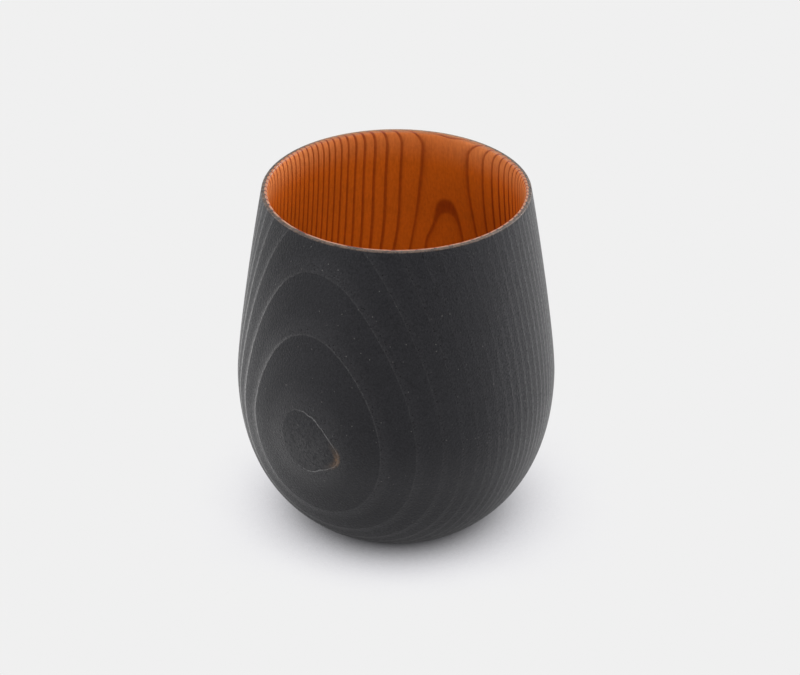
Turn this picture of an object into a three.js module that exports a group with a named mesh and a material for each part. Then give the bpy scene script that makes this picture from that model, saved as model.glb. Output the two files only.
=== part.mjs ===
// A wooden cup turned from one block: round belly, narrower mouth, thin lip and a small foot.
// A matt black coat covers the outside and the rim's edge. Amber lacquer covers the lip and the inside.
// Millimetres, +Z up. The origin is the centre of the foot, on the surface that the cup stands on.
import * as THREE from "three";

// Outside, finished size
const CUP_HEIGHT = 93;
const BELLY_RADIUS = 41;
const BELLY_HEIGHT = 40.5;
const RIM_RADIUS = 33.6;
const RIM_LEAN = THREE.MathUtils.degToRad(10.7); // of the outside below the rim, off vertical
const FOOT_RADIUS = 21; // where the line of the side would meet the table
const FOOT_SLOPE = THREE.MathUtils.degToRad(30.4); // of the side as it leaves the foot, off level

// How far each curve runs on straight before it bends
const FOOT_RUN = 13;
const BELLY_RUN_DOWN = 21.3;
const BELLY_RUN_UP = 8.3;
const RIM_RUN = 12.3;
const FLOOR_RUN = 23;

// Lip, from the outside inwards
const RIM_EDGE_ROUND = 0.35;
const COAT_LAND = 0.4; // part of the rim's flat that the coat covers
const LACQUER_LAND = 0.4; // part of the rim's flat that the lacquer covers
const LIP_WIDTH = 0.65; // of the flare on the inside, across
const LIP_DROP = 4; // of the same flare, down
const LIP_RUN_ACROSS = 0.45; // how far the flare runs on level from the rim's flat
const LIP_RUN_DOWN = 2.4; // how far it runs straight down into the wall
const LIP_LEAN = THREE.MathUtils.degToRad(3); // of the inside below the lip, off vertical

// Wall, floor and foot
const BELLY_WALL = 3.8;
const FLOOR_HEIGHT = 5.8; // inside floor above the table
const FOOT_EDGE = 1; // soft edge between the foot and the side
const FOOT_RING = 4.5; // width of the ring that the cup stands on
const RECESS_DEPTH = 1.2;
const RECESS_SLOPE = 0.9; // how far the recess's side leans inwards

// Finish
const COAT_FILM = 0.12;
const LACQUER_FILM = 0.15;

// Faces: around the axis, and along each stretch of the outline
const FACETS = 60;
const LONG_STEPS = 9;
const MEDIUM_STEPS = 7;
const ROUND_STEPS = 5;
const EDGE_STEPS = 2;

const point = (radius, height) => new THREE.Vector2(radius, height);
const heading = (angle) => point(Math.cos(angle), Math.sin(angle));
const UP = Math.PI / 2;

// A cubic curve that leaves start along startWay for startRun and reaches end along endWay over endRun.
function sweep(start, startWay, startRun, end, endWay, endRun) {
  const first = start.clone().addScaledVector(startWay, startRun);
  const second = end.clone().addScaledVector(endWay, -endRun);
  return new THREE.CubicBezierCurve(start, first, second, end);
}

function arc(centre, across, up, from, to) {
  return new THREE.EllipseCurve(centre.x, centre.y, across, up, from, to, false, 0);
}

const stretch = (curve, steps) => ({ curve, steps });

// The outside from the foot's edge up to the end of the coat, on the rim's flat
function outsideStretches() {
  const footWay = heading(FOOT_SLOPE);
  const foot = point(FOOT_RADIUS, 0).addScaledVector(footWay, FOOT_EDGE);
  const belly = point(BELLY_RADIUS, BELLY_HEIGHT);
  const edgeCentre = point(
    RIM_RADIUS - RIM_EDGE_ROUND * Math.cos(RIM_LEAN),
    CUP_HEIGHT - RIM_EDGE_ROUND,
  );
  const rim = edgeCentre.clone().addScaledVector(heading(RIM_LEAN), RIM_EDGE_ROUND);
  const rimWay = heading(UP + RIM_LEAN);
  const flatStart = point(edgeCentre.x, CUP_HEIGHT);
  const coatEnd = point(edgeCentre.x - COAT_LAND, CUP_HEIGHT);
  return [
    stretch(sweep(foot, footWay, FOOT_RUN, belly, heading(UP), BELLY_RUN_DOWN), LONG_STEPS),
    stretch(sweep(belly, heading(UP), BELLY_RUN_UP, rim, rimWay, RIM_RUN), MEDIUM_STEPS),
    stretch(arc(edgeCentre, RIM_EDGE_ROUND, RIM_EDGE_ROUND, RIM_LEAN, UP), EDGE_STEPS),
    stretch(new THREE.LineCurve(flatStart, coatEnd), 1),
  ];
}

// The inside from the end of the coat over the lip and down to the middle of the floor
function insideStretches(coatEnd) {
  const flatEnd = point(coatEnd.x - LACQUER_LAND, CUP_HEIGHT);
  const lip = point(flatEnd.x - LIP_WIDTH, CUP_HEIGHT - LIP_DROP);
  const belly = point(BELLY_RADIUS - BELLY_WALL, BELLY_HEIGHT);
  const floor = point(0, FLOOR_HEIGHT);
  const lipWay = heading(LIP_LEAN - UP);
  const level = heading(Math.PI);
  return [
    stretch(new THREE.LineCurve(coatEnd, flatEnd), 1),
    stretch(sweep(flatEnd, level, LIP_RUN_ACROSS, lip, lipWay, LIP_RUN_DOWN), ROUND_STEPS),
    stretch(sweep(lip, lipWay, RIM_RUN, belly, heading(-UP), BELLY_RUN_UP), MEDIUM_STEPS),
    stretch(sweep(belly, heading(-UP), BELLY_RUN_DOWN, floor, level, FLOOR_RUN), LONG_STEPS),
  ];
}

// Points along the stretches, moved to their left by depth, which is into the wood
function trace(stretches, depth) {
  const traced = [];
  for (const { curve, steps } of stretches) {
    for (let i = traced.length ? 1 : 0; i <= steps; i++) {
      const way = curve.getTangent(i / steps);
      const left = point(-way.y, way.x);
      traced.push(curve.getPoint(i / steps).addScaledVector(left, depth));
    }
  }
  return traced;
}

// The underside of the wood: recess, standing ring and the start of the foot's soft edge
function underside() {
  const ringInside = FOOT_RADIUS - FOOT_RING;
  return [
    point(0, RECESS_DEPTH),
    point(ringInside - RECESS_SLOPE, RECESS_DEPTH),
    point(ringInside, 0),
    point(FOOT_RADIUS - FOOT_EDGE, 0),
    point(FOOT_RADIUS - FOOT_EDGE / 2, FOOT_EDGE * Math.sin(FOOT_SLOPE) / 4),
  ];
}

const withoutRepeats = (outline) =>
  outline.filter((p, i) => i === 0 || p.distanceTo(outline[i - 1]) > 1e-6);

// A solid of revolution about Z from an outline that runs round its section anticlockwise
function turned(name, outline, material) {
  const geometry = new THREE.LatheGeometry(withoutRepeats(outline), FACETS);
  geometry.rotateX(UP);
  const mesh = new THREE.Mesh(geometry, material);
  mesh.name = name;
  return mesh;
}

const bareCedar = new THREE.MeshStandardMaterial({ color: 0xb9855a, roughness: 0.75, metalness: 0 });
const mattBlack = new THREE.MeshStandardMaterial({ color: 0x333335, roughness: 0.7, metalness: 0 });
const amberLacquer = new THREE.MeshStandardMaterial({ color: 0xa8501a, roughness: 0.35, metalness: 0 });

const outside = outsideStretches();
const inside = insideStretches(outside.at(-1).curve.v2);
const coatFace = trace(outside, 0);
const coatBack = trace(outside, COAT_FILM);
const lacquerFace = trace(inside, 0);
const lacquerBack = trace(inside, LACQUER_FILM);
const onAxis = (p) => point(0, p.y);
lacquerFace.push(onAxis(lacquerFace.pop()));
lacquerBack.push(onAxis(lacquerBack.pop()));

const cup = new THREE.Group();
cup.add(
  turned("wood_body", [...underside(), ...coatBack, ...lacquerBack], bareCedar),
  turned("black_outer_coat", [...coatFace, ...coatBack.toReversed(), coatFace[0]], mattBlack),
  turned("amber_inner_lacquer", [...lacquerBack.toReversed(), ...lacquerFace], amberLacquer),
);

export default cup;
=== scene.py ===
"""A turned wooden cup: charcoal stain outside, amber lacquer inside, bare wood under the foot."""

import logging
import math
from dataclasses import dataclass
from enum import Enum
from typing import ClassVar, Protocol

import bpy
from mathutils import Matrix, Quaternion, Vector


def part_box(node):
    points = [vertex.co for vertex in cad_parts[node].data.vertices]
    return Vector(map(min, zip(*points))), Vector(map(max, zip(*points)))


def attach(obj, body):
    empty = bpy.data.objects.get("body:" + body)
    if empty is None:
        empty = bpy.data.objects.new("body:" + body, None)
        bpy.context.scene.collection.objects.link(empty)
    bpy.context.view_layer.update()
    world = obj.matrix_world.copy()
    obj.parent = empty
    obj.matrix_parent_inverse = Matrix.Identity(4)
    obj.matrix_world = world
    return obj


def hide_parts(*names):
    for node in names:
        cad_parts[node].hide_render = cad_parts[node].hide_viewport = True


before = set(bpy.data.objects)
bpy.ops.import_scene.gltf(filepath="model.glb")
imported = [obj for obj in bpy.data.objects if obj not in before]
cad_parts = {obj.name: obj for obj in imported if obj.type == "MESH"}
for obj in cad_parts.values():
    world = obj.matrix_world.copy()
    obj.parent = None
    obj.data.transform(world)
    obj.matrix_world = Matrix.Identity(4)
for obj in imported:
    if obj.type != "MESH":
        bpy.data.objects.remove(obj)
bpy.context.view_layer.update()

LOG = logging.getLogger("cup")
MM = 0.001
MERGE_DISTANCE = 0.001 * MM
SMOOTH_ANGLE = 38.0
Triple = tuple[float, float, float]
Colour = tuple[float, float, float]
Span = tuple[float, float]
Term = "Signal | float"
Paint = "Colour | bpy.types.NodeSocket"


class CadNode(Enum):
    """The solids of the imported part."""

    WOOD = "wood_body"
    COAT = "black_outer_coat"
    LACQUER = "amber_inner_lacquer"


class Slot(Enum):
    """The record's material slots."""

    WOOD = "bare_wood"
    COAT = "black_coat"
    LACQUER = "amber_lacquer"


# Outline of the cup


@dataclass(frozen=True)
class Station:
    """A point of the cup's section, radius across and height up, and the way the outline runs there."""

    place: Vector
    way: Vector

    def sunk(self, depth: float) -> Vector:
        """The point moved into the wood, which lies to the left of the outline's way."""
        return self.place + Vector((-self.way.y, self.way.x)) * depth


def heading(angle: float) -> Vector:
    """The unit vector at an angle in degrees, from across towards up."""
    return Vector((math.cos(math.radians(angle)), math.sin(math.radians(angle))))


def sweep(start: Vector, start_pull: Vector, end: Vector, end_pull: Vector, steps: int) -> list[Station]:
    """Stations along a cubic curve.

    Args:
        start: where the curve begins.
        start_pull: how far and which way it runs on from the start before it bends.
        end: where the curve ends.
        end_pull: how far and which way it runs into the end.
        steps: the number of steps along it.

    Returns:
        The stations, both ends included.
    """
    first, second = start + start_pull, end - end_pull
    stations = []
    for step in range(steps + 1):
        t = step / steps
        s = 1 - t
        place = start * s**3 + first * (3 * s * s * t) + second * (3 * s * t * t) + end * t**3
        way = (first - start) * (s * s) + (second - first) * (2 * s * t) + (end - second) * (t * t)
        stations.append(Station(place, way.normalized()))
    return stations


def rounding(centre: Vector, radius: float, begin: float, end: float, steps: int) -> list[Station]:
    """Stations along part of a circle, anticlockwise.

    Args:
        centre: the circle's centre.
        radius: its radius.
        begin: the angle it begins at, in degrees.
        end: the angle it ends at, in degrees.
        steps: the number of steps along it.

    Returns:
        The stations, both ends included.
    """
    angles = [begin + (end - begin) * step / steps for step in range(steps + 1)]
    return [Station(centre + heading(angle) * radius, heading(angle + 90)) for angle in angles]


def straight(start: Vector, end: Vector, steps: int) -> list[Station]:
    """Stations along a straight line, both ends included."""
    way = (end - start).normalized()
    return [Station(start.lerp(end, step / steps), way) for step in range(steps + 1)]


def chain(*runs: list[Station]) -> list[Station]:
    """Joins runs of stations that meet end to end.

    Args:
        runs: the runs in order.

    Returns:
        All the stations, without those that repeat where two runs meet.
    """
    joined = list(runs[0])
    for run in runs[1:]:
        joined += run[1:]
    return joined


@dataclass(frozen=True)
class CupOutline:
    """The section of the finished cup in millimetres and degrees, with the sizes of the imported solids.

    A run is how far a curve goes on straight before it bends. The soft values round the edges of the
    recess under the foot: three widths, and two heights as shares of the recess's depth.
    """

    height: float
    belly_radius: float
    belly_height: float = 40.5
    rim_radius: float = 33.6
    rim_lean: float = 10.7
    foot_radius: float = 21.0
    foot_slope: float = 30.4
    foot_run: float = 13.0
    belly_run_down: float = 21.3
    belly_run_up: float = 8.3
    rim_run: float = 12.3
    floor_run: float = 23.0
    rim_edge: float = 0.35
    coat_land: float = 0.4
    lacquer_land: float = 0.4
    lip_width: float = 0.65
    lip_drop: float = 4.0
    lip_run_across: float = 0.45
    lip_run_down: float = 2.4
    lip_lean: float = 3.0
    belly_wall: float = 3.8
    floor_height: float = 5.8
    foot_edge: float = 1.0
    foot_ring: float = 4.5
    recess_depth: float = 1.2
    recess_slope: float = 0.9
    recess_shares: tuple[float, ...] = (0.25, 0.5, 0.75, 0.96)
    soft_inner: float = 0.1
    soft_outer: float = 0.15
    soft_ring: float = 0.25
    soft_top: float = 0.94
    soft_bottom: float = 0.12
    coat_film: float = 0.12
    lacquer_film: float = 0.15
    long_steps: int = 44
    lip_steps: int = 14
    edge_steps: int = 8
    flat_steps: int = 2

    @classmethod
    def of_frame(cls) -> "CupOutline":
        """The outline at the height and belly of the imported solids."""
        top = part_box(CadNode.COAT.value)[1]
        return cls(height=top.z / MM, belly_radius=top.x / MM)

    @property
    def edge_centre(self) -> Vector:
        """The centre of the rounding on the rim's outer edge."""
        across = self.rim_radius - self.rim_edge * heading(self.rim_lean).x
        return Vector((across, self.height - self.rim_edge))

    @property
    def coat_end(self) -> Vector:
        """Where the coat and the lacquer meet on the flat of the rim."""
        return Vector((self.edge_centre.x - self.coat_land, self.height))

    def outside(self) -> list[Station]:
        """The outside of the cup.

        Returns:
            The stations from the foot's edge over the belly to the end of the coat on the rim.
        """
        foot_way, up, rim_way = heading(self.foot_slope), heading(90), heading(90 + self.rim_lean)
        foot = Vector((self.foot_radius, 0)) + foot_way * self.foot_edge
        belly = Vector((self.belly_radius, self.belly_height))
        rim = self.edge_centre + heading(self.rim_lean) * self.rim_edge
        flat_start = Vector((self.edge_centre.x, self.height))
        return chain(
            sweep(foot, foot_way * self.foot_run, belly, up * self.belly_run_down, self.long_steps),
            sweep(belly, up * self.belly_run_up, rim, rim_way * self.rim_run, self.long_steps),
            rounding(self.edge_centre, self.rim_edge, self.rim_lean, 90, self.edge_steps),
            straight(flat_start, self.coat_end, self.flat_steps),
        )

    def inside(self) -> list[Station]:
        """The inside of the cup.

        Returns:
            The stations from the end of the coat over the lip and down to the middle of the floor.
        """
        flat_end = self.coat_end - Vector((self.lacquer_land, 0))
        lip = flat_end - Vector((self.lip_width, self.lip_drop))
        belly = Vector((self.belly_radius - self.belly_wall, self.belly_height))
        floor = Vector((0, self.floor_height))
        lip_way, down, level = heading(self.lip_lean - 90), heading(-90), heading(180)
        return chain(
            straight(self.coat_end, flat_end, self.flat_steps),
            sweep(flat_end, level * self.lip_run_across, lip, lip_way * self.lip_run_down, self.lip_steps),
            sweep(lip, lip_way * self.rim_run, belly, down * self.belly_run_up, self.long_steps),
            sweep(belly, down * self.belly_run_down, floor, level * self.floor_run, self.long_steps),
        )

    def underside(self) -> list[Vector]:
        """The recess, the standing ring and the foot's soft edge.

        Returns:
            The points from the axis outwards.
        """
        ring_inside = self.foot_radius - self.foot_ring
        recess_edge = ring_inside - self.recess_slope
        edge = self.foot_edge
        return [
            Vector((0, self.recess_depth)),
            *(Vector((recess_edge * share, self.recess_depth)) for share in self.recess_shares),
            Vector((recess_edge + self.soft_inner, self.recess_depth * self.soft_top)),
            Vector((ring_inside - self.soft_outer, self.recess_depth * self.soft_bottom)),
            Vector((ring_inside + self.soft_ring, 0)),
            Vector((self.foot_radius - edge, 0)),
            Vector((self.foot_radius - edge / 2, edge * heading(self.foot_slope).y / 4)),
        ]


# Turning the pieces


def deselect_all() -> None:
    """Leaves object mode with nothing selected."""
    if bpy.context.mode != "OBJECT":
        bpy.ops.object.mode_set(mode="OBJECT")
    bpy.ops.object.select_all(action="DESELECT")


def turn(name: str, section: list[Vector], segments: int) -> bpy.types.Object:
    """Draws a section beside the axis by extruding a point along it, and spins it into a solid.

    Args:
        name: the piece's name.
        section: the outline in millimetres, closed on itself or with both ends on the axis.
        segments: the number of steps around the axis.

    Returns:
        The piece, at the origin.
    """
    deselect_all()
    points = [Vector((p.x * MM, 0, p.y * MM)) for p in section]
    bpy.ops.mesh.primitive_plane_add(size=MM, location=(0, 0, 0))
    piece = bpy.context.active_object
    piece.name = piece.data.name = name
    bpy.ops.object.mode_set(mode="EDIT")
    bpy.ops.mesh.select_mode(type="VERT")
    bpy.ops.mesh.select_all(action="SELECT")
    bpy.ops.mesh.merge(type="CENTER")
    bpy.ops.transform.translate(value=points[0])
    for last, point in zip(points, points[1:]):
        bpy.ops.mesh.extrude_region_move(TRANSFORM_OT_translate={"value": point - last})
    bpy.ops.mesh.select_all(action="SELECT")
    bpy.ops.mesh.remove_doubles(threshold=MERGE_DISTANCE)
    bpy.ops.mesh.spin(steps=segments, angle=math.tau, use_auto_merge=True, center=(0, 0, 0), axis=(0, 0, 1))
    bpy.ops.mesh.select_all(action="SELECT")
    bpy.ops.mesh.remove_doubles(threshold=MERGE_DISTANCE)
    bpy.ops.mesh.normals_make_consistent(inside=False)
    bpy.ops.object.mode_set(mode="OBJECT")
    bpy.ops.object.shade_smooth_by_angle(angle=math.radians(SMOOTH_ANGLE))
    return piece


# Numbers and colours that vary over a surface


class Signal:
    """A number that varies over a surface. Arithmetic on it adds Math nodes."""

    def __init__(self, tree: bpy.types.NodeTree, socket: bpy.types.NodeSocket) -> None:
        """Wraps a socket of a node tree."""
        self.tree = tree
        self.socket = socket

    def _maths(self, operation: str, *terms: Term, clamp: bool = False) -> "Signal":
        """Adds a Math node.

        Args:
            operation: the node's operation.
            terms: what goes into it, in order.
            clamp: whether the result is held between 0 and 1.

        Returns:
            The node's result.
        """
        node = self.tree.nodes.new("ShaderNodeMath")
        node.operation = operation
        node.use_clamp = clamp
        for socket, term in zip(node.inputs, terms):
            if isinstance(term, Signal):
                self.tree.links.new(term.socket, socket)
            else:
                socket.default_value = term
        return Signal(self.tree, node.outputs[0])

    def __add__(self, other: Term) -> "Signal":
        """This plus another."""
        return self._maths("ADD", self, other)

    def __sub__(self, other: Term) -> "Signal":
        """This less another."""
        return self._maths("SUBTRACT", self, other)

    def __rsub__(self, other: float) -> "Signal":
        """A number less this."""
        return self._maths("SUBTRACT", other, self)

    def __mul__(self, other: Term) -> "Signal":
        """This times another."""
        return self._maths("MULTIPLY", self, other)

    def __truediv__(self, other: Term) -> "Signal":
        """This divided by another."""
        return self._maths("DIVIDE", self, other)

    __radd__ = __add__
    __rmul__ = __mul__

    def exp(self) -> "Signal":
        """The exponential of this."""
        return self._maths("EXPONENT", self)

    def sine(self) -> "Signal":
        """The sine of this, in radians."""
        return self._maths("SINE", self)

    def fraction(self) -> "Signal":
        """What is left of this after its whole part."""
        return self._maths("FRACT", self)

    def power(self, exponent: float) -> "Signal":
        """This raised to an exponent."""
        return self._maths("POWER", self, exponent)

    def larger(self, other: Term) -> "Signal":
        """The larger of this and another."""
        return self._maths("MAXIMUM", self, other)

    def size(self) -> "Signal":
        """This without its sign."""
        return self._maths("ABSOLUTE", self)

    def clamped(self) -> "Signal":
        """This, held between 0 and 1."""
        return self._maths("ADD", self, 0.0, clamp=True)

    def bell(self, centre: float, reach: float) -> "Signal":
        """1 at a centre, falling smoothly to nothing a few reaches away."""
        away = (self - centre) / reach
        return (away * away * -1.0).exp()

    def rise(self, low: float, high: float) -> "Signal":
        """A smooth step.

        Args:
            low: where it is 0.
            high: where it is 1. This may be the lower number, for a fall.

        Returns:
            The step, held between 0 and 1.
        """
        node = self.tree.nodes.new("ShaderNodeMapRange")
        node.interpolation_type = "SMOOTHSTEP"
        bounds = (low, high, 0.0, 1.0) if low <= high else (high, low, 1.0, 0.0)
        for socket, value in zip(node.inputs[1:5], bounds):
            socket.default_value = value
        self.tree.links.new(self.socket, node.inputs[0])
        return Signal(self.tree, node.outputs[0])


@dataclass(frozen=True)
class Mottle:
    """Soft random variation over a surface.

    per_mm is how often it varies along x, y and z, detail is how many finer layers it has, and
    roughness is how strong those are. A span stretches its middle range to run from 0 to 1.
    """

    per_mm: Triple
    detail: float = 2.0
    roughness: float = 0.5
    span: Span | None = None


@dataclass(frozen=True)
class Patch:
    """A soft patch, across and up. Millimetres."""

    across: float
    across_reach: float
    height: float
    height_reach: float

    def level(self, across: Signal, height: Signal) -> Signal:
        """1 in the middle of the patch, falling smoothly to nothing around it."""
        return across.bell(self.across, self.across_reach) * height.bell(self.height, self.height_reach)


class FinishSheet:
    """The node tree of one finish, with its position in millimetres."""

    def __init__(self, name: str) -> None:
        """Makes an empty material with one shader.

        Args:
            name: the material's name.
        """
        self.material = bpy.data.materials.new(name)
        self.material.use_nodes = True
        self.tree = self.material.node_tree
        self.shader = self.tree.nodes["Principled BSDF"]
        coordinates = self.add("ShaderNodeTexCoord")
        scaled = self.add("ShaderNodeVectorMath", operation="SCALE")
        scaled.inputs["Scale"].default_value = 1 / MM
        self.link(coordinates.outputs["Object"], scaled.inputs[0])
        self.position = scaled.outputs[0]
        self.x, self.y, self.z = self.split(self.position)

    def add(self, kind: str, **settings: object) -> bpy.types.Node:
        """Adds a node.

        Args:
            kind: the node's type.
            settings: its settings by name.

        Returns:
            The node.
        """
        node = self.tree.nodes.new(kind)
        for key, value in settings.items():
            setattr(node, key, value)
        return node

    def link(self, source: bpy.types.NodeSocket, target: bpy.types.NodeSocket) -> None:
        """Joins two sockets."""
        self.tree.links.new(source, target)

    def signal(self, socket: bpy.types.NodeSocket) -> Signal:
        """A socket of this tree as a number."""
        return Signal(self.tree, socket)

    def split(self, vector: bpy.types.NodeSocket) -> tuple[Signal, Signal, Signal]:
        """Takes a vector apart.

        Args:
            vector: the socket of the vector.

        Returns:
            Its three parts.
        """
        node = self.add("ShaderNodeSeparateXYZ")
        self.link(vector, node.inputs[0])
        return tuple(self.signal(socket) for socket in node.outputs)

    def join(self, *parts: Term) -> bpy.types.NodeSocket:
        """Makes a vector.

        Args:
            parts: its three parts.

        Returns:
            The socket of the vector.
        """
        node = self.add("ShaderNodeCombineXYZ")
        for socket, part in zip(node.inputs, parts):
            if isinstance(part, Signal):
                self.link(part.socket, socket)
            else:
                socket.default_value = part
        return node.outputs[0]

    def normal(self) -> tuple[Signal, Signal, Signal]:
        """The way the smooth surface faces."""
        return self.split(self.add("ShaderNodeNewGeometry").outputs["Normal"])

    def radius(self) -> Signal:
        """How far a place is from the cup's axis, in millimetres."""
        return (self.x * self.x + self.y * self.y).power(0.5)

    def stretched(self, per_mm: Triple) -> bpy.types.NodeSocket:
        """The position, counted in repeats of a pattern.

        Args:
            per_mm: the number of repeats in a millimetre along x, y and z.

        Returns:
            The socket of the position.
        """
        node = self.add("ShaderNodeVectorMath", operation="MULTIPLY")
        node.inputs[1].default_value = per_mm
        self.link(self.position, node.inputs[0])
        return node.outputs[0]

    def cloud(self, mottle: Mottle) -> Signal:
        """Adds soft random variation.

        Args:
            mottle: its scale and strength.

        Returns:
            The variation, from 0 to 1 and about one half.
        """
        node = self.add("ShaderNodeTexNoise")
        self.link(self.stretched(mottle.per_mm), node.inputs["Vector"])
        node.inputs["Scale"].default_value = 1.0
        node.inputs["Detail"].default_value = mottle.detail
        node.inputs["Roughness"].default_value = mottle.roughness
        level = self.signal(node.outputs[0])
        return level.rise(*mottle.span) if mottle.span else level

    def specks(self, per_mm: Triple, radius: float) -> Signal:
        """Adds small separate specks.

        Args:
            per_mm: how many cells there are along x, y and z.
            radius: a speck's radius as a share of its cell.

        Returns:
            1 in a speck and 0 between them.
        """
        node = self.add("ShaderNodeTexVoronoi")
        self.link(self.stretched(per_mm), node.inputs["Vector"])
        node.inputs["Scale"].default_value = 1.0
        return self.signal(node.outputs["Distance"]).rise(radius, radius * 0.4)

    def blend(self, share: Signal, plain: Paint, full: Paint) -> bpy.types.NodeSocket:
        """A colour between two.

        Args:
            share: 0 for the plain colour and 1 for the full one.
            plain: the colour, or the socket of a colour, at 0.
            full: the colour, or the socket of a colour, at 1.

        Returns:
            The socket of the blended colour.
        """
        node = self.add("ShaderNodeMix", data_type="RGBA", clamp_factor=True)
        self.link(share.socket, node.inputs[0])
        for socket, paint in ((node.inputs[6], plain), (node.inputs[7], full)):
            if isinstance(paint, tuple):
                socket.default_value = (*paint, 1)
            else:
                self.link(paint, socket)
        return node.outputs[2]

    def shade(self, colour: bpy.types.NodeSocket, level: Signal) -> bpy.types.NodeSocket:
        """A colour made darker or lighter.

        Args:
            colour: the socket of the colour.
            level: what it is multiplied by.

        Returns:
            The socket of the shaded colour.
        """
        node = self.add("ShaderNodeVectorMath", operation="SCALE")
        self.link(colour, node.inputs[0])
        self.link(level.socket, node.inputs["Scale"])
        return node.outputs[0]

    def even(self, socket: str, value: float | tuple[float, ...]) -> None:
        """Sets a value of the shader that is the same all over the surface."""
        self.shader.inputs[socket].default_value = value

    def dress(self, colour: bpy.types.NodeSocket, roughness: Signal, relief: Signal) -> None:
        """Sets the shader's colour, roughness and relief.

        Args:
            colour: the surface's colour.
            roughness: its roughness.
            relief: how high it stands, in millimetres.
        """
        bump = self.add("ShaderNodeBump")
        bump.inputs["Strength"].default_value = 1.0
        bump.inputs["Distance"].default_value = MM
        self.link(relief.socket, bump.inputs["Height"])
        self.link(bump.outputs[0], self.shader.inputs["Normal"])
        self.link(colour, self.shader.inputs["Base Color"])
        self.link(roughness.socket, self.shader.inputs["Roughness"])


# The block that the cup is turned from


@dataclass(frozen=True)
class Swelling(Patch):
    """A place where the rings bulge by so many millimetres, as they do beside a knot."""

    bulge: float

    def push(self, across: Signal, height: Signal) -> Signal:
        """How far the swelling moves the rings at a place."""
        return self.level(across, height) * self.bulge


@dataclass(frozen=True)
class BlockPlace:
    """A place in the block, in millimetres, and how the rings run there.

    depth runs through the cup's axis towards the bark, inward is depth counted from the bark, across
    runs level along the rings, and height is counted from the middle of their bow. heart and bark are 1
    well inside each half of the block and 0 in the other.
    """

    depth: Signal
    inward: Signal
    across: Signal
    height: Signal
    heart: Signal
    bark: Signal
    lean: Signal
    curl: Signal
    bow: Signal


@dataclass(frozen=True)
class RingPattern:
    """How the growth rings cross a surface.

    offset is how far a place is from the nearest late wood line, in rings: below 0 towards the bark
    and above 0 towards the heart. per_mm is how many rings pass in a millimetre, knot is 1 over the
    knot that the rings arch round, and eye is 1 over the outermost ring's eye on the bark side.
    """

    offset: Signal
    per_mm: Signal
    knot: Signal
    eye: Signal


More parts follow.
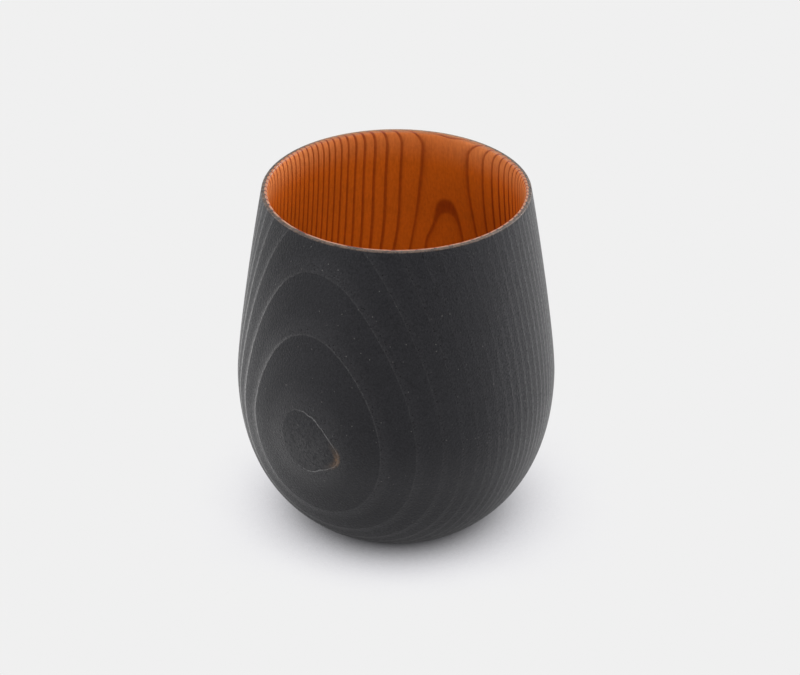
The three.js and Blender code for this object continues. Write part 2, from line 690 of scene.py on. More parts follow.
@dataclass(frozen=True)
class GrowthRings:
    """Growth rings in one block of softwood, in millimetres about the cup's axis.

    bark_turn is where the bark lies, in radians from -Y towards +X. The rings widen towards it. They
    lean, curl and twist across the block and bow over its height. In the heart half they bow and tilt
    further, and in both halves they bulge at swellings. Good and poor seasons spread and crowd them in a
    slow wave, and wobble and ripple make their lines uneven.
    """

    bark_turn: float = -0.592
    bark_radius: float = 41.0
    ring_width: float = 2.162
    widening: float = 46.71
    first_ring: float = 0.563
    lean: float = -0.01151
    lean_change: float = -0.0001329
    curl: float = -0.00385
    curl_change: float = -2.59e-5
    twist: float = -3.5e-5
    bow: float = 0.00441
    bow_change: float = -4.71e-6
    bow_drift: float = 3.7e-5
    bow_height: float = 39.44
    tilt_across: float = -0.000713
    tilt_depth: float = -0.00128
    heart_bow: float = -2.0e-5
    heart_bow_change: float = 3.75e-7
    heart_tilt: float = 0.00252
    heart_tilt_change: float = -4.02e-5
    seasons: float = -0.277
    seasons_length: float = 38.1
    seasons_start: float = 4.41
    wobble: float = 0.05
    wobble_mottle: Mottle = Mottle((0.11, 0.11, 0.05))
    ripple: float = 0.03
    ripple_mottle: Mottle = Mottle((0.9, 0.9, 0.35))
    heart_swellings: tuple[Swelling, ...] = (
        Swelling(-6.31, 5.85, 66.1, 10.2, bulge=0.69),
        Swelling(-12.35, 2.96, 59.0, 6.0, bulge=0.346),
        Swelling(-4.4, 3.5, 94.0, 2.2, bulge=0.25),
    )
    bark_swellings: tuple[Swelling, ...] = (
        Swelling(8.56, 3.5, 37.3, 4.04, bulge=0.78),
        Swelling(-4.47, 4.0, 47.1, 4.0, bulge=0.2),
    )
    knot: Patch = Patch(-6.8, 4.6, 71.6, 3.6)
    eye_depth: Span = (38.2, 39.6)
    side_fade: float = 20.0
    least_per_mm: float = 0.01

    def draw(self, sheet: FinishSheet) -> RingPattern:
        """Adds the rings to a finish.

        Args:
            sheet: the finish's nodes.

        Returns:
            The pattern that the rings make on its surface.
        """
        place = self._place(sheet)
        layer = self._layer(sheet, place)
        density = (layer * (-1 / self.widening)).exp()
        offset = (self._count(sheet, layer, density) + 0.5).fraction() - 0.5
        per_mm = self._slant(sheet, place) * density * (1 / self.ring_width)
        knot = self.knot.level(place.across, sheet.z) * place.heart
        eye = place.depth.rise(*self.eye_depth)
        return RingPattern(offset, per_mm.larger(self.least_per_mm), knot, eye)

    def _turned(self, x: Signal, y: Signal) -> tuple[Signal, Signal]:
        """The parts of a level vector towards the bark and across."""
        sine, cosine = math.sin(self.bark_turn), math.cos(self.bark_turn)
        return x * sine - y * cosine, x * cosine + y * sine

    def _place(self, sheet: FinishSheet) -> BlockPlace:
        """Finds a surface's place in the block.

        Args:
            sheet: the nodes of the surface's finish.

        Returns:
            The place.
        """
        depth, across = self._turned(sheet.x, sheet.y)
        inward = depth - self.bark_radius
        return BlockPlace(
            depth=depth,
            inward=inward,
            across=across,
            height=sheet.z - self.bow_height,
            heart=(depth * (-1 / self.side_fade)).clamped(),
            bark=(depth / self.side_fade).clamped(),
            lean=inward * (self.lean + inward * self.lean_change),
            curl=self.curl + depth * self.curl_change,
            bow=self.bow + inward * self.bow_change,
        )

    def _layer(self, sheet: FinishSheet, place: BlockPlace) -> Signal:
        """Straightens the rings out.

        Args:
            sheet: the finish's nodes.
            place: the place in the block.

        Returns:
            The depth that the place's ring would have in a block with flat rings.
        """
        across, height = place.across, place.height
        heart_bow = height * height * (self.heart_bow + height * self.heart_bow_change)
        heart_tilt = across * (self.heart_tilt + height * self.heart_tilt_change)
        heart_bulge = sum(swelling.push(across, sheet.z) for swelling in self.heart_swellings)
        bark_bulge = sum(swelling.push(across, sheet.z) for swelling in self.bark_swellings)
        return (
            place.depth
            + across * (place.lean + across * (place.curl + across * self.twist))
            - height * height * (place.bow - height * self.bow_drift)
            + height * (across * self.tilt_across + place.inward * self.tilt_depth)
            + place.heart * (height * (heart_bow + heart_tilt) - heart_bulge)
            + place.bark * bark_bulge
        )

    def _count(self, sheet: FinishSheet, layer: Signal, density: Signal) -> Signal:
        """Counts the rings from the bark.

        Args:
            sheet: the finish's nodes.
            layer: the depth of the ring.
            density: how close the rings lie there, falling towards the bark.

        Returns:
            The number of rings, whole on a late wood line.
        """
        full = self.widening / self.ring_width
        start = self.first_ring - full * math.exp(-self.bark_radius / self.widening)
        season = (layer * (math.tau / self.seasons_length) + self.seasons_start).sine() * self.seasons
        wobble = (sheet.cloud(self.wobble_mottle) - 0.5) * self.wobble
        ripple = (sheet.cloud(self.ripple_mottle) - 0.5) * self.ripple
        return density * full + start + season + wobble + ripple

    def _slant(self, sheet: FinishSheet, place: BlockPlace) -> Signal:
        """Finds how squarely the surface cuts the rings.

        Args:
            sheet: the finish's nodes.
            place: the place in the block.

        Returns:
            About 1 where it cuts straight across them and 0 where it runs along them.
        """
        slope_across = place.lean + place.across * place.curl * 2.0 + place.height * self.tilt_across
        slope_up = place.height * place.bow * -2.0 + place.inward * self.tilt_depth
        face_x, face_y, face_z = sheet.normal()
        crossing = sheet.add("ShaderNodeVectorMath", operation="CROSS_PRODUCT")
        sheet.link(sheet.join(1.0, slope_across, slope_up), crossing.inputs[0])
        sheet.link(sheet.join(*self._turned(face_x, face_y), face_z), crossing.inputs[1])
        length = sheet.add("ShaderNodeVectorMath", operation="LENGTH")
        sheet.link(crossing.outputs[0], length.inputs[0])
        return sheet.signal(length.outputs["Value"])


# Finishes


class Finish(Protocol):
    """A finish that is laid over the rings of the block."""

    def material(self, rings: GrowthRings) -> bpy.types.Material:
        """The finish over the rings."""


@dataclass(frozen=True)
class StainMarks:
    """What varies over the stained outside.

    late is 1 on the late wood, and behind is how far a place lies on the heart's side of a late wood
    line, in millimetres. grain, fibre, broken and gleam are random. bold covers the left half, flank the
    far left, and ridged the right side, where the rings crowd together.
    """

    pattern: RingPattern
    late: Signal
    behind: Signal
    grain: Signal
    fibre: Signal
    broken: Signal
    gleam: Signal
    bold: Signal
    flank: Signal
    ridged: Signal


@dataclass(frozen=True)
class LineShares:
    """How strongly the pale lines along the late wood show on each part of the outside, from 0 to 1: partly
    stain thinned by rubbing, partly a painted highlight, strongest on the left and at the left edge where
    the light grazes.

    flank_eye is what the eye takes off the lines on the flank, and faint is the share that is lost at
    the rim. solid, broken and gleam are what an unbroken line has, and what random variation adds to it.
    """

    everywhere: float = 0.03
    bold: float = 0.09
    loop: float = 0.18
    eye: float = 0.8
    flank: float = 0.56
    flank_eye: float = 0.44
    ridged: float = 0.12
    brink: float = 0.6
    faint: float = 0.4
    solid: float = 0.15
    broken: float = 0.45
    gleam: float = 0.4


@dataclass(frozen=True)
class CharcoalStain:
    """A matt charcoal stain over brushed softwood, thinned by rubbing along the raised late wood, with
    painted highlights on those lines and painted light on the lower left, round the lower belly and in
    glints on the right.

    A span named for an axis runs along it in millimetres, and x is below 0 on the left. The late spans
    are in rings, the crest and worn spans in millimetres behind a late wood line, and the rim span in
    millimetres below the top.
    """

    outline: CupOutline
    early: Colour = (0.0050, 0.0050, 0.0061)
    late: Colour = (0.0098, 0.0096, 0.0108)
    # Colour of the lightened lines and of the painted light: partly stain thinned by rubbing, partly painted
    # highlight.
    rubbed_and_painted_light: Colour = (0.125, 0.123, 0.123)
    # Colour of the rim's top edge: partly worn wood, partly painted highlight.
    edge: Colour = (0.15, 0.09, 0.055)
    speck: Colour = (0.12, 0.115, 0.11)
    worn: Colour = (0.078, 0.047, 0.027)
    shine: float = 0.245
    shine_tint: Colour = (0.965, 0.955, 1.0)
    sheen: float = 0.06
    sheen_roughness: float = 0.4
    grain: Mottle = Mottle((2.0, 2.0, 1.7), roughness=0.65, span=(0.28, 0.72))
    patches: Mottle = Mottle((0.07, 0.07, 0.05))
    fibre: Mottle = Mottle((3.0, 3.0, 0.35), span=(0.3, 0.7))
    broken: Mottle = Mottle((1.5, 1.5, 1.1), span=(0.34, 0.6))
    gleam: Mottle = Mottle((2.7, 2.7, 2.3), detail=1.0, span=(0.25, 0.75))
    dusty: Mottle = Mottle((0.25, 0.25, 0.25), span=(0.42, 0.6))
    dust_per_mm: Triple = (0.62, 0.62, 0.5)
    dust_radius: float = 0.11
    late_start: Span = (-0.02, 0.02)
    late_end: Span = (0.45, 0.04)
    bold_x: Span = (17.0, -12.0)
    flank_x: Span = (-20.0, -38.0)
    brink_x: Span = (-33.0, -39.0)
    ridged_x: Span = (20.0, 29.0)
    eye_x: Span = (-27.0, -20.0)
    lines: LineShares = LineShares()
    loop: Patch = Patch(-14.0, 7.0, 56.0, 10.0)
    faint_z: Span = (72.0, 92.0)
    crest_width: float = 0.3
    crest_flank_width: float = 0.9
    crest_start: Span = (-0.1, 0.02)
    # Painted light: the late wood lighter on the lower left, a band round the lower belly and a patch on the
    # lower left.
    glow_x: Span = (-18.0, -34.0)
    glow_z: Span = (80.0, 45.0)
    left_light_patch: Patch = Patch(-23.0, 9.0, 37.0, 9.0)
    belly_light_height: float = 30.0
    belly_light_reach: float = 7.0
    worn_place: Triple = (-14.4, -38.2, 37.2)
    worn_reach: float = 2.7
    worn_before: Span = (-1.9, -0.2)
    worn_behind: Span = (1.1, 0.1)
    rim_below: Span = (0.4, 0.1)
    rim_back_y: Span = (18.0, 31.0)
    smooth_z: Span = (6.0, 30.0)
    dull_x: Span = (-12.0, -28.0)
    dull_z: Span = (50.0, 85.0)

    def material(self, rings: GrowthRings) -> bpy.types.Material:
        """The stain on the outside of the cup.

        Args:
            rings: the rings of the block under it.

        Returns:
            The material.
        """
        sheet = FinishSheet("charcoal_stain")
        marks = self._marks(sheet, rings)
        colour = self._ground(sheet, marks)
        colour = self._lines_painted_light_and_dust(sheet, marks, colour)
        colour = self._worn_and_rim_highlight(sheet, marks, colour)
        self._surface(sheet, marks, colour)
        return sheet.material

    def _marks(self, sheet: FinishSheet, rings: GrowthRings) -> StainMarks:
        """Works out what varies over the outside.

        Args:
            sheet: the finish's nodes.
            rings: the rings of the block under it.

        Returns:
            The marks.
        """
        pattern = rings.draw(sheet)
        return StainMarks(
            pattern=pattern,
            late=pattern.offset.rise(*self.late_end) * pattern.offset.rise(*self.late_start),
            behind=pattern.offset / pattern.per_mm,
            grain=sheet.cloud(self.grain),
            fibre=sheet.cloud(self.fibre),
            broken=sheet.cloud(self.broken),
            gleam=sheet.cloud(self.gleam),
            bold=sheet.x.rise(*self.bold_x),
            flank=sheet.x.rise(*self.flank_x),
            ridged=sheet.x.rise(*self.ridged_x),
        )

    def _ground(self, sheet: FinishSheet, marks: StainMarks) -> bpy.types.NodeSocket:
        """Colours the stain where nothing has rubbed it.

        Args:
            sheet: the finish's nodes.
            marks: what varies over the outside.

        Returns:
            The socket of the colour.
        """
        # The late wood is painted lighter across the left half, where the light grazes: painted light over
        # the grain's own tone.
        colour = sheet.blend(marks.late * (0.3 + marks.bold * 0.6), self.early, self.late)
        level = 0.6 + marks.grain * (0.55 + marks.ridged * 0.3) + marks.fibre * marks.ridged * 0.2
        return sheet.shade(colour, level + sheet.cloud(self.patches) * 0.2)

    def _lines_painted_light_and_dust(
        self, sheet: FinishSheet, marks: StainMarks, colour: bpy.types.NodeSocket
    ) -> bpy.types.NodeSocket:
        """Lightens the late wood lines, partly as stain thinned by rubbing and partly as painted highlight,
        paints light on the lower left, round the lower belly and in glints on the right, and adds dust.

        Args:
            sheet: the finish's nodes.
            marks: what varies over the outside.
            colour: the stain's colour.

        Returns:
            The socket of the new colour.
        """
        eye, lines = marks.pattern.eye, self.lines
        eye_line = eye * sheet.x.rise(*self.eye_x) * lines.eye
        flank_lines = marks.flank * (lines.flank - eye * lines.flank_eye)
        loop = self.loop.level(sheet.x, sheet.z)
        # The lines are painted brighter on the left, round the loop and the eye, and at the left edge:
        # painted highlight over stain thinned by rubbing.
        shown = lines.everywhere + marks.bold * lines.bold + loop * lines.loop + eye_line.larger(flank_lines)
        shown = shown + marks.ridged * lines.ridged + sheet.x.rise(*self.brink_x) * lines.brink
        shown = shown * (1.0 - sheet.z.rise(*self.faint_z) * lines.faint)
        shown = shown * (lines.solid + marks.broken * lines.broken + marks.gleam * lines.gleam)
        width = self.crest_width + marks.flank * self.crest_flank_width
        crest = (marks.behind / width).rise(1.0, 0.0) * marks.behind.rise(*self.crest_start)
        # Painted light: lighter late wood on the lower left, a band round the lower belly, patchy glints on
        # the right and a patch on the lower left.
        glow = marks.late * sheet.x.rise(*self.glow_x) * sheet.z.rise(*self.glow_z) * (0.11 - eye * 0.07)
        glow = glow + sheet.z.bell(self.belly_light_height, self.belly_light_reach) * 0.03
        glow = glow + marks.ridged * marks.broken * 0.03
        glow = glow + self.left_light_patch.level(sheet.x, sheet.z) * (0.02 + marks.broken * 0.12)
        colour = sheet.blend(glow + crest * shown, colour, self.rubbed_and_painted_light)
        dust = sheet.specks(self.dust_per_mm, self.dust_radius) * sheet.cloud(self.dusty)
        return sheet.blend(dust * 0.6, colour, self.speck)

    def _worn_and_rim_highlight(
        self, sheet: FinishSheet, marks: StainMarks, colour: bpy.types.NodeSocket
    ) -> bpy.types.NodeSocket:
        """Wears the stain down to the wood at the tip of the eye, and lightens the rim's top edge, most at
        the back: partly wear, partly painted highlight.

        Args:
            sheet: the finish's nodes.
            marks: what varies over the outside.
            colour: the stain's colour.

        Returns:
            The socket of the new colour.
        """
        bare = marks.behind.rise(*self.worn_before) * marks.behind.rise(*self.worn_behind)
        for along, middle in zip((sheet.x, sheet.y, sheet.z), self.worn_place):
            bare = bare * along.bell(middle, self.worn_reach)
        colour = sheet.blend(bare * (0.5 + marks.broken * 0.5), colour, self.worn)
        # The rim's top edge lighter, most at the back: partly wear, partly painted highlight on the rounded
        # edge.
        rim = sheet.z.rise(*(self.outline.height - below for below in self.rim_below))
        back = sheet.y.rise(*self.rim_back_y)
        return sheet.blend(rim * (0.1 + marks.broken * 0.25 + back * 0.7), colour, self.edge)

    def _surface(self, sheet: FinishSheet, marks: StainMarks, colour: bpy.types.NodeSocket) -> None:
        """Gives the stain its roughness, relief and shine.

        Args:
            sheet: the finish's nodes.
            marks: what varies over the outside.
            colour: the finished colour.
        """
        late, grain, ridged = marks.late, marks.grain, marks.ridged
        roughness = 0.62 - sheet.z.rise(*self.smooth_z) * 0.15 - late * 0.12 + (grain - 0.5) * 0.2
        relief = late * (0.03 + marks.bold * 0.03 + ridged * 0.06) + grain * 0.06
        sheet.dress(colour, roughness, relief + marks.fibre * ridged * 0.025)
        dull = 1.0 - sheet.x.rise(*self.dull_x) * sheet.z.rise(*self.dull_z) * 0.35
        shine = (self.shine + (marks.gleam - 0.5) * (0.1 + ridged * 0.15)) * dull
        sheet.link(shine.socket, sheet.shader.inputs["Specular IOR Level"])
        sheet.even("Specular Tint", (*self.shine_tint, 1.0))
        sheet.even("Sheen Weight", self.sheen)
        sheet.even("Sheen Roughness", self.sheen_roughness)


@dataclass(frozen=True)
class AmberLacquer:
    """A clear amber lacquer over the turned inside, with the late wood showing dark.

    A span named for an axis runs along it in millimetres, lip_ends runs to both sides, and rim_below is
    below the top. plateau is half a late wood line's width, in rings, the other plateau values soften its
    edges, and its tail fades over late_share.
    """

    outline: CupOutline
    early: Colour = (0.345, 0.069, 0.0035)
    late: Colour = (0.132, 0.0135, 0.0004)
    # pale is the painted light and highlight towards the lip.
    pale: Colour = (0.395, 0.136, 0.044)
    land_front_highlight: Colour = (0.205, 0.115, 0.08)
    land_back: Colour = (0.18, 0.068, 0.026)
    stain: Colour = (0.026, 0.026, 0.028)
    shine: float = 0.2
    coat: float = 0.04
    coat_roughness: float = 0.25
    fibre: Mottle = Mottle((2.6, 2.6, 0.14), detail=3.0, roughness=0.6, span=(0.25, 0.75))
    clouds: Mottle = Mottle((0.12, 0.12, 0.05))
    flecks: Mottle = Mottle((1.7, 1.7, 0.9), span=(0.25, 0.75))
    late_share: float = 0.34
    plateau: float = 0.04
    plateau_before: Span = (-0.06, 0.03)
    plateau_behind: float = 0.09
    plateau_core: float = 0.3
    knot_late: float = 0.1
    right_x: Span = (18.0, 30.0)
    close_x: Span = (-6.0, -24.0)
    wide_x: Span = (6.0, -8.0)
    mouth_z: Span = (91.0, 92.8)
    wall_z: Span = (90.0, 80.0)
    lip_z: Span = (83.0, 92.0)
    lip_ends: Span = (8.0, 26.0)
    low_z: Span = (74.0, 60.0)
    land_y: Span = (18.0, -7.0)
    rim_below: Span = (0.5, 0.1)
    stain_gap: float = 0.04
    stain_edge: float = 0.06

    def material(self, rings: GrowthRings) -> bpy.types.Material:
        """The lacquer on the lip and the inside of the cup.

        Args:
            rings: the rings of the block under it.

        Returns:
            The material.
        """
        sheet = FinishSheet("amber_lacquer")
        late = self._late(sheet, rings.draw(sheet))
        fibre, clouds, flecks = (sheet.cloud(mottle) for mottle in (self.fibre, self.clouds, self.flecks))
        on_rim = sheet.z.rise(*(self.outline.height - below for below in self.rim_below))
        # The land on the rim, paler at the front: painted highlight over its own tone.
        land = sheet.blend(sheet.y.rise(*self.land_y), self.land_back, self.land_front_highlight)
        # Painted light: paler towards the lip, where the light from above falls, with painted highlights at
        # its left and right ends.
        lip = sheet.z.rise(*self.lip_z) * (0.4 + sheet.x.size().rise(*self.lip_ends) * 0.32)
        colour = sheet.blend(lip, self.early, self.pale)
        colour = sheet.blend(on_rim * (0.7 + flecks * 0.3), colour, land)
        colour = sheet.blend(late * (0.85 + clouds * 0.3), colour, self.late)
        # Painted light: the inside lighter below 74 mm, deep in the cup.
        low = sheet.z.rise(*self.low_z)
        colour = sheet.shade(colour, 0.76 + low * 0.1 + fibre * 0.18 + clouds * 0.12 + flecks * 0.18)
        reach = self.outline.coat_end.x - self.stain_gap - late * 0.25 - flecks * 0.1
        stained = (sheet.radius() - reach).rise(0.0, self.stain_edge) * on_rim
        colour = sheet.blend(stained, colour, self.stain)
        roughness = 0.44 + late * 0.06 + (flecks - 0.5) * 0.1
        sheet.dress(colour, roughness, late * 0.015 + fibre * 0.008 + flecks * 0.006)
        sheet.even("Specular IOR Level", self.shine)
        sheet.even("Coat Weight", self.coat)
        sheet.even("Coat Roughness", self.coat_roughness)
        return sheet.material

    def _late(self, sheet: FinishSheet, pattern: RingPattern) -> Signal:
        """Finds how dark the late wood shows.

        The lines are wider on the left and on the right, and thick and soft round the knot.

        Args:
            sheet: the finish's nodes.
            pattern: the rings on the surface.

        Returns:
            The share of the late wood's colour.
        """
        thick = pattern.knot * self.knot_late
        soft = 1.0 - pattern.knot * 0.72
        right = sheet.x.rise(*self.right_x)
        close = sheet.x.rise(*self.close_x).larger(right)
        wide = sheet.x.rise(*self.wide_x).larger(right)
        before = (pattern.offset + thick * 0.6 + wide * 0.05) * soft
        edge = before.rise(*(end - self.plateau for end in self.plateau_before))
        behind = pattern.offset - thick * 1.2 - wide * 0.1
        line = edge * behind.rise(self.plateau + self.plateau_behind, self.plateau * self.plateau_core)
        tail = edge * pattern.offset.rise(self.late_share, 0.0)
        deep = 0.4 + close * 0.1 + sheet.z.rise(*self.mouth_z) * 0.2
        deep = deep + right * (sheet.z.rise(*self.wall_z) * 0.25 - 0.03) + pattern.knot * 0.09
        return line * deep + tail * 0.26


@dataclass(frozen=True)
class BareCedar:
    """Bare turned softwood under the foot: growth rings, fibres and faint tool marks.

    The late spans run over rings. Other sizes are in millimetres.
    """

    early: Colour = (0.52, 0.30, 0.14)
    late: Colour = (0.27, 0.12, 0.045)
    worn: Colour = (0.36, 0.21, 0.11)
    shine: float = 0.4
    pores: Mottle = Mottle((4.0, 4.0, 1.0), detail=3.0, roughness=0.65)
    clouds: Mottle = Mottle((0.1, 0.1, 0.1))
    late_start: Span = (-0.05, 0.0)
    late_end: Span = (0.4, 0.06)
    worn_z: Span = (0.5, 0.0)
    tool_pitch: float = 0.42

    def material(self, rings: GrowthRings) -> bpy.types.Material:
        """The bare wood of the foot.

        Args:
            rings: the rings of the block.

        Returns:
            The material.
        """
        sheet = FinishSheet("bare_cedar")
        pattern = rings.draw(sheet)
        late = pattern.offset.rise(*self.late_end) * pattern.offset.rise(*self.late_start)
        pores, clouds = sheet.cloud(self.pores), sheet.cloud(self.clouds)
        marks = (sheet.radius() * (math.tau / self.tool_pitch) + clouds * 3.0).sine()
        colour = sheet.blend(late * 0.85, self.early, self.late)
        colour = sheet.blend(sheet.z.rise(*self.worn_z) * (0.25 + pores * 0.4), colour, self.worn)
        colour = sheet.shade(colour, 0.72 + pores * 0.3 + clouds * 0.2)
        roughness = 0.66 + (pores - 0.5) * 0.25 - late * 0.08
        sheet.dress(colour, roughness, late * 0.03 + pores * 0.024 + marks * 0.011)
        sheet.even("Specular IOR Level", self.shine)
        return sheet.material


# Pieces


@dataclass(frozen=True)
class TurnedPiece:
    """A piece of the cup, turned from a section and dressed in its finish."""

    outline: CupOutline
    finish: Finish
    segments: int = 256
    label: ClassVar[str]
    node: ClassVar[CadNode]
    slot: ClassVar[Slot]

    def section(self) -> list[Vector]:
        """The section that the piece is turned from, in millimetres."""
        raise NotImplementedError

    def build(self) -> bpy.types.Object:
        """Turns the piece."""
        return turn(self.label, self.section(), self.segments)

    def dress(self, piece: bpy.types.Object, rings: GrowthRings) -> None:
        """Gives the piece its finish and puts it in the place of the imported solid.

        Args:
            piece: the turned piece.
            rings: the rings of the block that it is turned from.
        """
        piece.data.materials.append(self.finish.material(rings))
        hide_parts(self.node.value)
        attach(piece, "root")


@dataclass(frozen=True)
class WoodBody(TurnedPiece):
    """The turned wood between the two finishes, bare only under the foot."""

    label = "turned_wood"
    node = CadNode.WOOD
    slot = Slot.WOOD

    def section(self) -> list[Vector]:
        """The recess, the standing ring and the backs of both finishes.

        Returns:
            The points from the axis under the foot round to the axis on the floor.
        """
        section = self.outline.underside()
        section += [station.sunk(self.outline.coat_film) for station in self.outline.outside()]
        section += [station.sunk(self.outline.lacquer_film) for station in self.outline.inside()]
        section[-1].x = 0
        return section


@dataclass(frozen=True)
class OuterCoat(TurnedPiece):
    """The stained skin over the outside and the edge of the rim."""

    label = "charcoal_skin"
    node = CadNode.COAT
    slot = Slot.COAT

    def section(self) -> list[Vector]:
        """The skin's face and its back.

        Returns:
            The points, closed on themselves.
        """
        stations = self.outline.outside()
        section = [station.place for station in stations]
        section += [station.sunk(self.outline.coat_film) for station in reversed(stations)]
        section.append(section[0].copy())
        return section


@dataclass(frozen=True)
class InnerLacquer(TurnedPiece):
    """The lacquered skin over the lip and the inside."""

    label = "lacquer_skin"
    node = CadNode.LACQUER
    slot = Slot.LACQUER

    def section(self) -> list[Vector]:
        """The skin's back and its face.

        Returns:
            The points, with both ends on the axis.
        """
        stations = self.outline.inside()
        section = [station.sunk(self.outline.lacquer_film) for station in reversed(stations)]
        section += [station.place.copy() for station in stations]
        section[0].x = section[-1].x = 0
        return section


# Studio


@dataclass(frozen=True)
class SoftBox:
    """A large soft lamp that faces the cup. Metres and watts."""

    name: str
    place: Triple
    width: float
    height: float
    power: float
    aim: Triple = (0.0, 0.0, 0.05)

    def build(self) -> None:
        """Hangs the lamp and turns it to the cup."""
        deselect_all()
        bpy.ops.object.light_add(type="AREA", location=self.place)
        lamp = bpy.context.active_object
        lamp.name = self.name
        lamp.data.shape = "RECTANGLE"
        lamp.data.size = self.width
        lamp.data.size_y = self.height
        lamp.data.energy = self.power
        lamp.rotation_euler = (Vector(self.aim) - Vector(self.place)).to_track_quat("-Z", "Y").to_euler()


@dataclass(frozen=True)
class Studio:
    """A pale paper floor, soft lamps in front, at the sides and overhead, and an even pale surround.

    Spans on the paper are in millimetres along an axis or from the cup's, and shade_span and cool_span
    are shares of the open sky above it. front_y and front_view are where the paper and the room in front
    of the cup grow dimmer in reflections. hollow is the clear disc under the foot.
    """

    paper: float = 0.871
    cool: Colour = (0.869, 0.863, 0.896)
    dark: Colour = (0.02, 0.02, 0.022)
    bounce: float = 0.5
    surround: float = 0.22
    floor_half: float = 3.0
    shade_reach: float = 0.06
    shade_samples: int = 16
    shade_span: Span = (0.035, 0.69)
    cool_span: Span = (0.4, 0.8)
    side_x: Span = (15.0, 50.0)
    right_x: Span = (5.0, 45.0)
    near_y: Span = (-20.0, -50.0)
    front_dim: float = 0.6
    front_y: Span = (-100.0, -400.0)
    front_view: Span = (-0.35, -0.9)
    foot_dim: float = 0.35
    foot_radius: Span = (70.0, 30.0)
    hollow: Span = (16.0, 15.5)
    lamps: tuple[SoftBox, ...] = (
        SoftBox("front_box", (0.0, -0.75, 0.95), 1.0, 0.8, 13.8),
        SoftBox("front_right_box", (0.65, -0.50, 0.75), 0.7, 0.7, 5.0),
        SoftBox("top_box", (0.0, 0.15, 1.15), 1.1, 1.1, 2.0),
        SoftBox("left_box", (-0.85, 0.30, 0.62), 0.8, 0.8, 13.5),
        SoftBox("right_box", (0.80, 0.50, 0.62), 0.8, 0.8, 18.0),
        SoftBox("low_left_box", (-0.70, -0.45, 0.16), 0.5, 0.3, 1.3),
        SoftBox("low_right_box", (0.75, -0.35, 0.16), 0.5, 0.3, 1.0),
    )

    def build(self) -> None:
        """Sets up the floor, the lamps and the surround."""
        for lamp in self.lamps:
            lamp.build()
        self._floor()
        self._surround()

    def _floor(self) -> bpy.types.Object:
        """Lays the floor under the foot.

        Returns:
            The floor, with its paper.
        """
        deselect_all()
        bpy.ops.mesh.primitive_plane_add(size=2 * self.floor_half, location=(0, 0, 0))
        floor = bpy.context.active_object
        floor.name = "paper_floor"
        floor.data.materials.append(self._paper())
        return floor

    def _paper(self) -> bpy.types.Material:
        """Makes pale paper that glows with a painted soft shadow of the cup, worked out from the open sky
        above it.

        It is clear from below and under the foot's hollow, so that the underside can be seen.

        Returns:
            The material.
        """
        sheet = FinishSheet("pale_paper")
        glow = sheet.add("ShaderNodeEmission")
        sheet.link(self._tone(sheet), glow.inputs["Color"])
        sheet.even("Base Color", (self.bounce, self.bounce, self.bounce, 1))
        sheet.even("Roughness", 1.0)
        paper = self._choice(sheet, self._seen(sheet), sheet.shader.outputs[0], glow.outputs[0])
        below = sheet.signal(sheet.add("ShaderNodeNewGeometry").outputs["Backfacing"])
        below = below.larger(sheet.radius().rise(*self.hollow))
        clear = sheet.add("ShaderNodeBsdfTransparent")
        surface = self._choice(sheet, below, paper, clear.outputs[0])
        sheet.link(surface, sheet.tree.nodes["Material Output"].inputs["Surface"])
        return sheet.material

    def _tone(self, sheet: FinishSheet) -> bpy.types.NodeSocket:
        """Shades the paper by how much of the sky above it is open.

        In reflections it is dimmer far in front of the cup and close round its foot.

        Args:
            sheet: the paper's nodes.

        Returns:
            The socket of the paper's tone.
        """
        nook = sheet.add("ShaderNodeAmbientOcclusion", samples=self.shade_samples)
        nook.inputs["Distance"].default_value = self.shade_reach
        # Painted shadow: darker to both sides and more on the right, lighter in front, and tinted cool in
        # its middle.
        sides = sheet.x.size().rise(*self.side_x) * 0.06 + sheet.x.rise(*self.right_x) * 0.025
        open_share = sheet.signal(nook.outputs["AO"]) - sides + sheet.y.rise(*self.near_y) * 0.035
        tone = sheet.blend(open_share.rise(*self.cool_span), self.cool, (self.paper,) * 3)
        tone = sheet.blend(open_share.rise(*self.shade_span), self.dark, tone)
        # Reflections of the paper are painted dimmer far in front and round the foot.
        front = sheet.y.rise(*self.front_y) * self.front_dim
        foot = sheet.radius().rise(*self.foot_radius) * self.foot_dim
        gloss = sheet.signal(sheet.add("ShaderNodeLightPath").outputs["Is Glossy Ray"])
        return sheet.shade(tone, 1.0 - gloss * front.larger(foot))

    @staticmethod
    def _seen(sheet: FinishSheet) -> Signal:
        """Tells where the camera sees a surface, also through gloss or glass.

        Args:
            sheet: the surface's nodes.

        Returns:
            1 where it is seen and 0 elsewhere.
        """
        path = sheet.add("ShaderNodeLightPath")
        seen = sheet.signal(path.outputs["Is Camera Ray"])
        seen = seen.larger(sheet.signal(path.outputs["Is Glossy Ray"]))
        return seen.larger(sheet.signal(path.outputs["Is Transmission Ray"]))

    @staticmethod
    def _choice(
        sheet: FinishSheet, share: Signal, plain: bpy.types.NodeSocket, full: bpy.types.NodeSocket
    ) -> bpy.types.NodeSocket:
        """Mixes two shaders.

        Args:
            sheet: the surface's nodes.
            share: 0 for the plain shader and 1 for the full one.
            plain: the socket of the shader at 0.
            full: the socket of the shader at 1.

        Returns:
            The socket of the mixed shader.
        """
        node = sheet.add("ShaderNodeMixShader")
        for source, target in zip((share.socket, plain, full), node.inputs):
            sheet.link(source, target)
        return node.outputs[0]

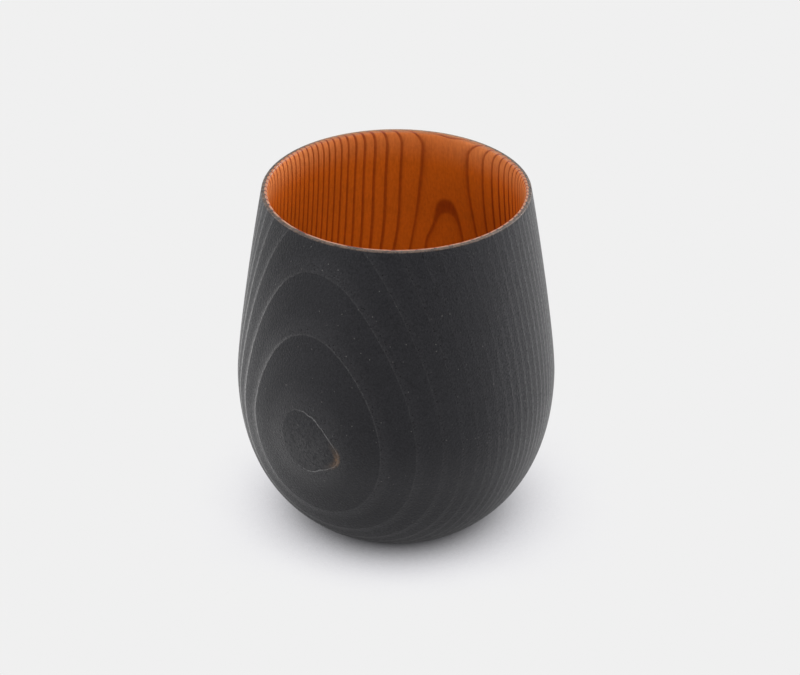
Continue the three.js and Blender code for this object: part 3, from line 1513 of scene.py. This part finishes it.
    def _surround(self) -> None:
        """Fills the rest of the room with even light, and with the paper's tone where it is seen.

        The front of the room, behind the camera, is dimmer in reflections.
        """
        world = bpy.data.worlds.new("surround")
        world.use_nodes = True
        bpy.context.scene.world = world
        tree = world.node_tree
        path = tree.nodes.new("ShaderNodeLightPath")
        way = tree.nodes.new("ShaderNodeSeparateXYZ")
        tree.links.new(tree.nodes.new("ShaderNodeTexCoord").outputs["Generated"], way.inputs[0])
        dimmed = 1.0 - Signal(tree, way.outputs["Y"]).rise(*self.front_view) * self.front_dim
        mirrored = Signal(tree, path.outputs["Is Glossy Ray"]) * dimmed
        seen = Signal(tree, path.outputs["Is Camera Ray"]).larger(mirrored)
        strength = seen * (self.paper - self.surround) + self.surround
        tree.links.new(strength.socket, tree.nodes["Background"].inputs["Strength"])
        tree.nodes["Background"].inputs["Color"].default_value = (1, 1, 1, 1)


@dataclass(frozen=True)
class ViewPoint:
    """The camera, in front of the cup, looking down at it and rolled a little. Metres and degrees.

    The lens and the sensor are in millimetres.
    """

    target: Triple = (0.00097, 0.0, 0.04974)
    distance: float = 0.615
    elevation: float = 30.67
    roll: float = 0.17
    lens: float = 107.53
    sensor: float = 36.0
    nearest: float = 0.01

    def build(self) -> None:
        """Sets up the scene's camera."""
        rise = math.radians(self.elevation)
        back = Vector((0, -math.cos(rise), math.sin(rise)))
        deselect_all()
        bpy.ops.object.camera_add(location=Vector(self.target) + back * self.distance)
        camera = bpy.context.active_object
        camera.name = "view_point"
        level = (-back).to_track_quat("-Z", "Y")
        camera.rotation_euler = (level @ Quaternion((0, 0, 1), math.radians(self.roll))).to_euler()
        camera.data.lens = self.lens
        camera.data.sensor_width = self.sensor
        camera.data.clip_start = self.nearest
        bpy.context.scene.camera = camera


def report(piece: bpy.types.Object) -> None:
    """Logs a piece's name, size and face count."""
    size = ", ".join(f"{side / MM:.2f}" for side in piece.dimensions)
    LOG.info("%s: %s mm, %d faces", piece.name, size, len(piece.data.polygons))


def main() -> None:
    """Builds the cup and its studio."""
    logging.basicConfig(level=logging.INFO, format="%(name)s: %(message)s")
    bpy.context.scene.view_settings.view_transform = "Standard"
    outline = CupOutline.of_frame()
    rings = GrowthRings()
    for part in (
        WoodBody(outline, BareCedar()),
        OuterCoat(outline, CharcoalStain(outline)),
        InnerLacquer(outline, AmberLacquer(outline)),
    ):
        piece = part.build()
        part.dress(piece, rings)
        report(piece)
    Studio().build()
    ViewPoint().build()


if __name__ == "__main__":
    main()
